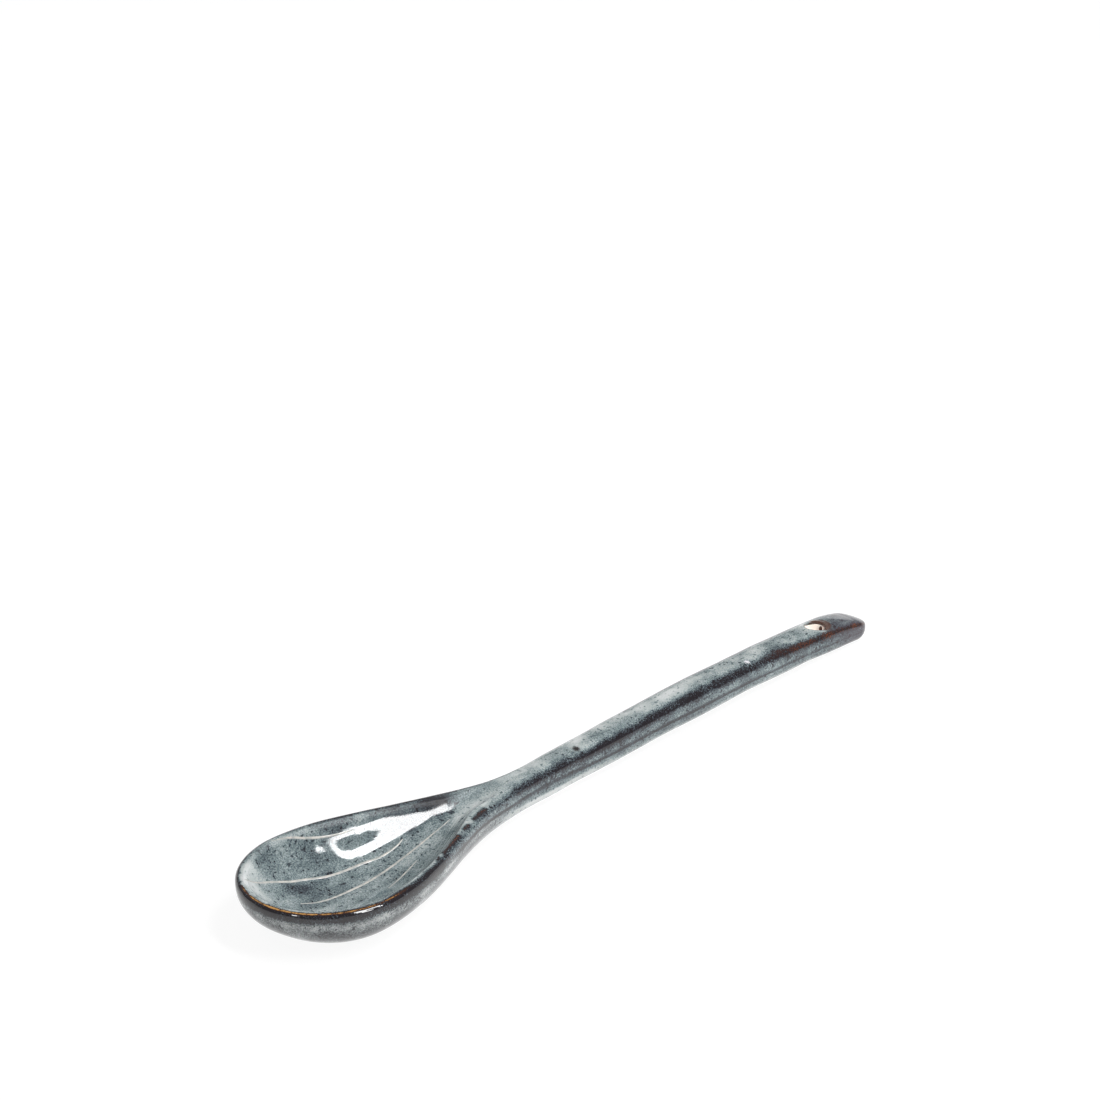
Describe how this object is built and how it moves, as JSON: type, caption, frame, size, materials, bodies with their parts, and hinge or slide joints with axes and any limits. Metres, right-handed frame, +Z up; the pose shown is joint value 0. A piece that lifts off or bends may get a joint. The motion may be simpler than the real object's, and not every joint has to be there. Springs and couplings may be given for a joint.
{
  "type": "teaspoon",
  "caption": "Stoneware teaspoon with a round-fronted bowl, a slim drooping handle with a hanging hole, and a blue-grey reactive glaze that breaks brown along the edges.",
  "frame": {"origin": "middle of the spoon's bounding box on the table plane it rests on", "axes": "+X from the bowl's tip towards the handle's end, +Z up out of the open bowl"},
  "size_m": [0.141, 0.0266, 0.0085],
  "materials": {
    "clay": "matte bare stoneware",
    "face_glaze": "gloss",
    "back_glaze": "gloss",
    "edge_glaze": "gloss",
    "collar_glaze": "gloss",
    "line_glaze": "gloss"
  },
  "bodies": {
    "root": {"clay_body": "clay", "face_glaze": "face_glaze", "back_glaze": "back_glaze", "edge_glaze": "edge_glaze", "hole_ring": "collar_glaze", "bowl_lines": "line_glaze"}
  },
  "joints": []
}
